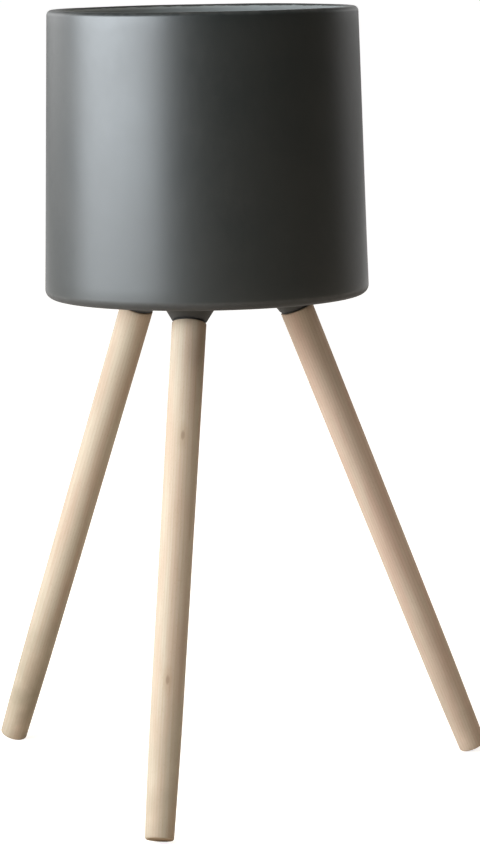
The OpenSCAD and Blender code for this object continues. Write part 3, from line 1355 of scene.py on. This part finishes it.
@dataclass(frozen=True)
class LegFixing:
    """What holds one leg: the hanger bolt, the rubber washer on it and the brass insert.

    All three are drawn in the leg's own frame, so the bolt's thread runs true in the insert's.
    """

    place: LegPlace
    washer: float = 0.0015
    washer_radius: float = 0.0117
    washer_hole: float = 0.0044
    washer_edge: float = 0.0005
    insert_radius: float = 0.006
    insert_length: float = 0.016
    insert_edge: float = 0.0003
    insert_mouth: float = 0.0002
    groove_depth: float = 0.0006
    groove_width: float = 0.0016
    groove_edge: float = 0.0001
    groove_shares: Pair = (1 / 3, 2 / 3)
    bolt_out: float = 0.014
    bolt_chamfer: float = 0.001
    shank_radius: float = 0.00395
    shank_length: float = 0.004
    shank_shares: tuple[float, ...] = (0.98, 0.5, 0.02)
    wood_length: float = 0.030
    wood_point: float = 0.0056
    point_share: float = 0.02
    run_out: float = 0.0012
    thread_gap: float = 0.00015
    machine: Thread = Thread(pitch=0.00125, crest=0.0039, depth=0.00062, crest_share=1 / 6,
                             root_share=5 / 6)
    wood: Thread = Thread(pitch=0.0028, crest=0.0035, depth=0.0010, crest_share=1 / 12,
                          root_share=5 / 12)
    sides: int = 36
    washer_sides: int = 72
    steps_per_pitch: int = 12

    def runs(self, thread: Thread, start: float, end: float, out: float) -> list[OutlinePoint]:
        """The section of a threaded length, finely divided from start to end.

        Args:
            thread: The thread.
            start: Where the length starts along the axis.
            end: Where it ends.
            out: The radius that the points carry.

        Returns:
            The points in order.
        """
        length = end - start
        count = max(2, round(abs(length) / thread.pitch * self.steps_per_pitch))
        return [OutlinePoint(out, start + length * step / count) for step in range(count + 1)]

    def bolt_surface(self, angle: float, point: OutlinePoint) -> Vector:
        """Shapes the bolt: a machine thread, a plain shank or a pointed wood thread.

        Args:
            angle: How far round the axis the point is.
            point: The point in the section.

        Returns:
            The point's place.
        """
        along = point.along
        if point.out == 0 or -self.shank_length < along < 0:
            return round_place(angle, point)
        if along >= 0:
            grip = min(1.0, along / self.run_out)
            cut = self.machine.radius(angle, along)
            out = self.shank_radius + (cut - self.shank_radius) * grip
            out = min(out, self.machine.crest - self.bolt_chamfer + (self.bolt_out - along))
        else:
            grip = min(1.0, (-self.shank_length - along) / self.run_out)
            cut = self.wood.radius(angle, along)
            out = self.wood.crest + (cut - self.wood.crest) * grip
            left = (along + self.shank_length + self.wood_length) / self.wood_point
            out *= max(self.point_share, min(1.0, left))
        return polar(angle, out, along)

    def bolt(self) -> Shell:
        """Makes the hanger bolt.

        Returns:
            Its mesh.
        """
        tip = -self.shank_length - self.wood_length
        section = [OutlinePoint(0.0, tip)]
        section += self.runs(self.wood, tip, -self.shank_length, self.wood.crest)
        for share in self.shank_shares:
            section.append(OutlinePoint(self.shank_radius, -self.shank_length * share, 1.0))
        section += self.runs(self.machine, 0.0, self.bolt_out, self.machine.crest)
        section.append(OutlinePoint(0.0, self.bolt_out))
        shell = Shell()
        shell.revolve(section, self.sides, shape=self.bolt_surface)
        return shell

    def insert_surface(self, angle: float, point: OutlinePoint) -> Vector:
        """Shapes the insert, whose bore has the bolt's own thread, a gap larger.

        Args:
            angle: How far round the axis the point is.
            point: The point in the section.

        Returns:
            The point's place.
        """
        if point.out > self.machine.crest + self.thread_gap:
            return round_place(angle, point)
        low = self.washer
        high = self.washer + self.insert_length
        mouth = self.machine.crest + self.thread_gap - min(point.along - low, high - point.along)
        out = max(self.machine.radius(angle, point.along) + self.thread_gap, mouth)
        return polar(angle, out, point.along)

    def insert(self) -> Shell:
        """Makes the threaded insert.

        Returns:
            Its mesh.
        """
        low = self.washer
        high = self.washer + self.insert_length
        inner = self.insert_radius - self.groove_depth
        corners = [Corner(self.insert_radius, low, self.insert_edge)]
        for share in self.groove_shares:
            start = low + self.insert_length * share - self.groove_width / 2
            corners += [
                Corner(self.insert_radius, start, self.groove_edge),
                Corner(inner, start),
                Corner(inner, start + self.groove_width),
                Corner(self.insert_radius, start + self.groove_width, self.groove_edge),
            ]
        corners.append(Corner(self.insert_radius, high, self.insert_edge))
        mouth = self.machine.crest + self.thread_gap + self.insert_mouth
        skin = outline([Corner(mouth, low), *corners, Corner(mouth, high)], step=0.002, arc=4)
        bore = self.runs(self.machine, high, low, self.machine.crest)
        shell = Shell()
        shell.revolve(skin + bore, self.sides, closed=True, shape=self.insert_surface)
        return shell

    def seal(self) -> Shell:
        """Makes the rubber washer.

        Returns:
            Its mesh.
        """
        section = outline([
            Corner(self.washer_hole, 0.0, self.washer_edge),
            Corner(self.washer_radius, 0.0, self.washer_edge),
            Corner(self.washer_radius, self.washer, self.washer_edge),
            Corner(self.washer_hole, self.washer, self.washer_edge),
        ], closed=True, step=0.003, arc=5)
        shell = Shell()
        shell.revolve(section, self.washer_sides, closed=True)
        return shell

    def build(self, steel: bpy.types.Material, rubber: bpy.types.Material,
              brass: bpy.types.Material) -> None:
        """Builds and dresses the three pieces.

        Args:
            steel: The bolt's finish.
            rubber: The washer's finish.
            brass: The insert's finish.
        """
        side = self.place.side
        matrix = self.place.matrix
        bolt = self.bolt().piece(side.part("hanger_bolt"), matrix, crease=50.0)
        dress(bolt, steel, side.part("leg"), side.part("bolt"))
        washer = self.seal().piece(side.part("seal_washer"), matrix)
        dress(washer, rubber, side.part("washer"), side.part("washer"))
        insert = self.insert().piece(side.part("thread_insert"), matrix, crease=50.0)
        dress(insert, brass, "pot", side.part("insert"))


@dataclass(frozen=True)
class Leg:
    """One turned leg: a straight taper, a rounded one at the foot, and a pilot hole in its top."""

    place: LegPlace
    length: float = 0.375
    top_radius: float = 0.0126
    shin_radius: float = 0.0116
    foot_radius: float = 0.0103
    foot_taper: float = 0.105
    top_edge: float = 0.0006
    foot_edge: float = 0.0012
    pilot_gap: float = 0.00005
    pilot_edge: float = 0.0003
    taper_steps: int = 12
    sanding: float = 0.00007
    waves: tuple[Wave, ...] = (Wave(0.25, 2, 0.0, 31.0), Wave(0.25, 3, 1.3, -74.0))
    edge_wear: float = 1.4
    edge_sanding: float = 1.5
    edge_waves: tuple[Wave, ...] = (Wave(1.0, 5, 0.4), Wave(1.0, 3, 2.0))
    sides: int = 96

    def radius(self, down: float) -> float:
        """Measures the leg.

        Args:
            down: How far down from its top.

        Returns:
            Its radius there.
        """
        straight = self.length - self.foot_taper
        slope = (self.top_radius - self.shin_radius) / straight
        drop = self.shin_radius - self.foot_radius - slope * self.foot_taper
        rounding = max(0.0, down - straight) / self.foot_taper
        return self.top_radius - slope * down - drop * rounding * rounding

    def section(self, fixing: LegFixing) -> list[OutlinePoint]:
        """The section, from the blind end of the pilot hole round to the middle of the foot.

        Args:
            fixing: What the pilot hole takes.

        Returns:
            The section's points.
        """
        shank = fixing.shank_radius + self.pilot_gap
        pilot = fixing.wood.crest + self.pilot_gap
        deep = -fixing.shank_length - fixing.wood_length
        taper = [self.length - self.foot_taper * step / self.taper_steps
                 for step in range(self.taper_steps, 0, -1)]
        return outline([
            Corner(0.0, deep - 2 * self.pilot_gap),
            Corner(pilot, deep + fixing.wood_point),
            Corner(pilot, -fixing.shank_length),
            Corner(shank, -fixing.shank_length),
            Corner(shank, 0.0, self.pilot_edge),
            Corner(self.top_radius, 0.0, self.top_edge),
            *(Corner(self.radius(down), -down) for down in taper),
            Corner(self.foot_radius, -self.length, self.foot_edge),
            Corner(0.0, -self.length),
        ], step=0.004, arc=8)

    def sanded(self, angle: float, point: OutlinePoint) -> Vector:
        """A point of the leg, taken in a little where the sanding was uneven.

        Args:
            angle: How far round the leg the point is.
            point: The point in the section.

        Returns:
            Its place, never outside the even form.
        """
        if point.out < self.foot_radius - self.foot_edge:
            return round_place(angle, point)
        rubbed = self.edge_wear + math.prod(wave.at(angle, 0.0) for wave in self.edge_waves)
        worn = self.edge_sanding * point.edge * rubbed
        out = point.out - self.sanding * (waver(self.waves, angle, point.along) + worn)
        return polar(angle, out, point.along)

    def build(self, fixing: LegFixing, wood: bpy.types.Material) -> None:
        """Builds and dresses the leg.

        Args:
            fixing: What its pilot hole takes.
            wood: Its finish.
        """
        side = self.place.side
        shell = Shell()
        shell.revolve(self.section(fixing), self.sides, shape=self.sanded)
        piece = shell.piece(side.part("leg_wood"), self.place.matrix)
        dress(piece, wood, side.part("leg"), side.part("leg"))


@dataclass(frozen=True)
class Lamp:
    """A soft rectangular light: where it stands as seen from the reference view, and its radiance.

    The angle is counted from the view's own direction, to the left, level round the planter. The
    tilt turns the rectangle in its own plane. Both are degrees. A lamp that isn't mirrored stands
    for a matt white board, which lights the wood and leaves no highlight on the glaze.
    """

    name: str
    angle: float
    distance: float
    height: float
    width: float
    tall: float
    radiance: float
    tilt: float = 0.0
    colour: Colour = (1.0, 1.0, 1.0)
    mirrored: bool = True

    def build(self, target: Vector, heading: float) -> None:
        """Sets the lamp, facing the planter.

        Args:
            target: The point that it faces.
            heading: The heading of the reference view.
        """
        data = bpy.data.lights.new(self.name, "AREA")
        data.shape = "RECTANGLE"
        data.size = self.width
        data.size_y = self.tall
        data.energy = self.radiance * math.pi * self.width * self.tall
        data.color = self.colour
        made = bpy.data.objects.new(self.name, data)
        made.visible_camera = False
        made.visible_glossy = self.mirrored
        bpy.context.scene.collection.objects.link(made)
        angle = heading - math.radians(self.angle)
        away = self.distance * Vector((math.sin(angle), -math.cos(angle), 0.0))
        place = Vector((target.x, target.y, self.height)) + away
        facing = (target - place).to_track_quat("-Z", "Y").to_matrix().to_4x4()
        tilted = facing @ Matrix.Rotation(math.radians(self.tilt), 4, "Z")
        made.matrix_world = Matrix.Translation(place) @ tilted


@dataclass(frozen=True)
class Studio:
    """The camera of the reference view, the lamps, a dim fill and white paper.

    The window lights the planter from the left and the wall from behind on the left. The skylight
    lights its inside, and the back lamp the sides that the reference view doesn't show.
    """

    focal_pixels: float = 3673.14
    long_side_pixels: float = 844.0
    sensor: float = 36.0
    distance: float = 2.71063
    height: float = 0.64467
    heading: float = 0.1909
    yaw: float = -0.0084
    pitch: float = -0.1378
    roll: float = 0.0161
    window: Lamp = Lamp("window", angle=64.5, distance=2.3, height=0.905, width=3.07, tall=0.99,
                        radiance=9.8, tilt=4.0, colour=(0.93, 1.0, 1.06))
    wall: Lamp = Lamp("wall", angle=121.0, distance=2.0, height=1.0, width=2.0, tall=1.3,
                      radiance=1.3)
    skylight: Lamp = Lamp("skylight", angle=10.0, distance=0.6, height=2.3, width=1.6, tall=1.6,
                          radiance=2.9, colour=(1.0, 0.96, 0.90), mirrored=False)
    back: Lamp = Lamp("back", angle=-122.0, distance=1.6, height=1.2, width=1.2, tall=1.2,
                      radiance=2.3, colour=(1.0, 0.95, 0.88), mirrored=False)
    fill: float = 0.03
    fill_colour: Colour = (1.0, 0.86, 0.70)
    clip: Pair = (0.1, 100.0)
    floor_radii: tuple[float, ...] = (30.0, 1.0, 0.0)
    floor_sides: int = 96
    pool: float = 5.5
    paper_reach: float = 62.0
    paper_rise: float = 23.5
    paper_blur: float = 2.0

    @property
    def ahead(self) -> Vector:
        """The level direction in which the reference view looks."""
        return Vector((-math.sin(self.heading), math.cos(self.heading), 0.0))

    def camera(self, target: Vector) -> None:
        """Sets the camera at the reference view.

        Args:
            target: A point on the pot's axis, which the view is measured from.
        """
        data = bpy.data.cameras.new("camera")
        data.sensor_fit = "AUTO"
        data.sensor_width = self.sensor
        data.lens = self.focal_pixels * self.sensor / self.long_side_pixels
        data.clip_start, data.clip_end = self.clip
        made = bpy.data.objects.new("camera", data)
        bpy.context.scene.collection.objects.link(made)
        level = Matrix.Rotation(math.pi / 2, 4, "X")
        turn = Matrix.Rotation(self.heading + self.yaw, 4, "Z")
        nod = Matrix.Rotation(self.pitch, 4, "X") @ Matrix.Rotation(self.roll, 4, "Y")
        place = Vector((target.x, target.y, self.height)) - self.distance * self.ahead
        made.matrix_world = Matrix.Translation(place) @ turn @ nod @ level
        bpy.context.scene.camera = made

    def world(self) -> None:
        """Sets a plain dim fill all round, which the camera sees as white paper.

        Reflections see the paper where it hangs behind the planter, and elsewhere the dim room.
        """
        world = bpy.data.worlds.new("fill")
        nodes = emptied(world)
        dim = nodes.add("Background", {"Color": self.fill_colour, "Strength": self.fill}).outputs[0]
        white = nodes.add("Background", {"Color": (1.0, 1.0, 1.0), "Strength": 1.0}).outputs[0]
        way = nodes.add("TexCoord").outputs["Generated"]
        reach = [math.radians(self.paper_reach + side * self.paper_blur) for side in (1, -1)]
        rise = [math.radians(self.paper_rise + side * self.paper_blur) for side in (1, -1)]
        facing = nodes.measure("DOT_PRODUCT", way, tuple(self.ahead))
        behind = nodes.remap(facing, *(math.cos(angle) for angle in reach))
        low = nodes.remap(nodes.part(way, "Z"), *(math.sin(angle) for angle in rise))
        paper = nodes.times(behind, low)
        sky = nodes.add("MixShader", {0: nodes.seen(paper), 1: dim, 2: white}).outputs[0]
        nodes.add("OutputWorld", {"Surface": sky})
        bpy.context.scene.world = world

    def floor(self) -> None:
        """Lays the paper floor, which is no part of the object."""
        shell = Shell()
        shell.revolve([OutlinePoint(out, 0.0) for out in self.floor_radii], self.floor_sides)
        made = shell.piece("floor", Matrix.Rotation(self.heading, 4, "Z"))
        made.data.materials.append(Paper(self.pool).material())

    def build(self, target: Vector) -> None:
        """Builds the whole studio round the planter.

        Args:
            target: The point on the pot's axis that it is set round.
        """
        bpy.context.scene.view_settings.view_transform = "Standard"
        self.camera(target)
        for lamp in (self.window, self.wall, self.skylight, self.back):
            lamp.build(target, self.heading)
        self.world()
        self.floor()


STEEL = Metal("zinc_plated_steel", bright=(0.62, 0.63, 0.64), dull=(0.40, 0.42, 0.44),
              rough=(0.26, 0.48))
BRASS = Metal("turned_brass", bright=(0.72, 0.50, 0.22), dull=(0.42, 0.27, 0.11),
              rough=(0.22, 0.44))
WOODS = {
    Side.FRONT: Beech("front_leg_beech", seed=0.13, pith=(0.047, -0.026, 0.0),
                      knots=(Knot(down=0.0863, angle=-1.36), Knot(down=0.2636, angle=-1.43))),
    # The left leg's painted shade at the foot is at full strength and starts higher.
    Side.LEFT: Beech("left_leg_beech", seed=0.59, pith=(-0.038, 0.044, 0.0), shade_full=0.36,
                     foot_shade=1.0),
    # The right leg's beech is a paler copy: painted light for the stronger light on its lit side.
    Side.RIGHT: Beech("right_leg_beech_painted_light", seed=0.91, pith=(0.020, 0.062, 0.0),
                      pale=(0.668, 0.535, 0.420), rosy=(0.640, 0.462, 0.362)),
}


def main() -> None:
    """Builds the planter piece by piece, then the studio."""
    logging.basicConfig(level=logging.INFO, format="%(name)s: %(message)s")
    places = {side: LegPlace.of(side) for side in Side}
    rubber, steel, brass = Rubber().material(), STEEL.material(), BRASS.material()

    pot = Pot(tuple(places.values()))
    glaze = Glaze(pot.base_radius - pot.wall / 2, pot.lean, pot.height - pot.glaze_drop)
    pot.build(glaze.material())
    DrainPlug(pot).build(rubber)
    for side, place in places.items():
        fixing = LegFixing(place)
        fixing.build(steel, rubber, brass)
        Leg(place).build(fixing, WOODS[side].material(place.axis))
    Studio().build(pot.origin)


if __name__ == "__main__":
    main()
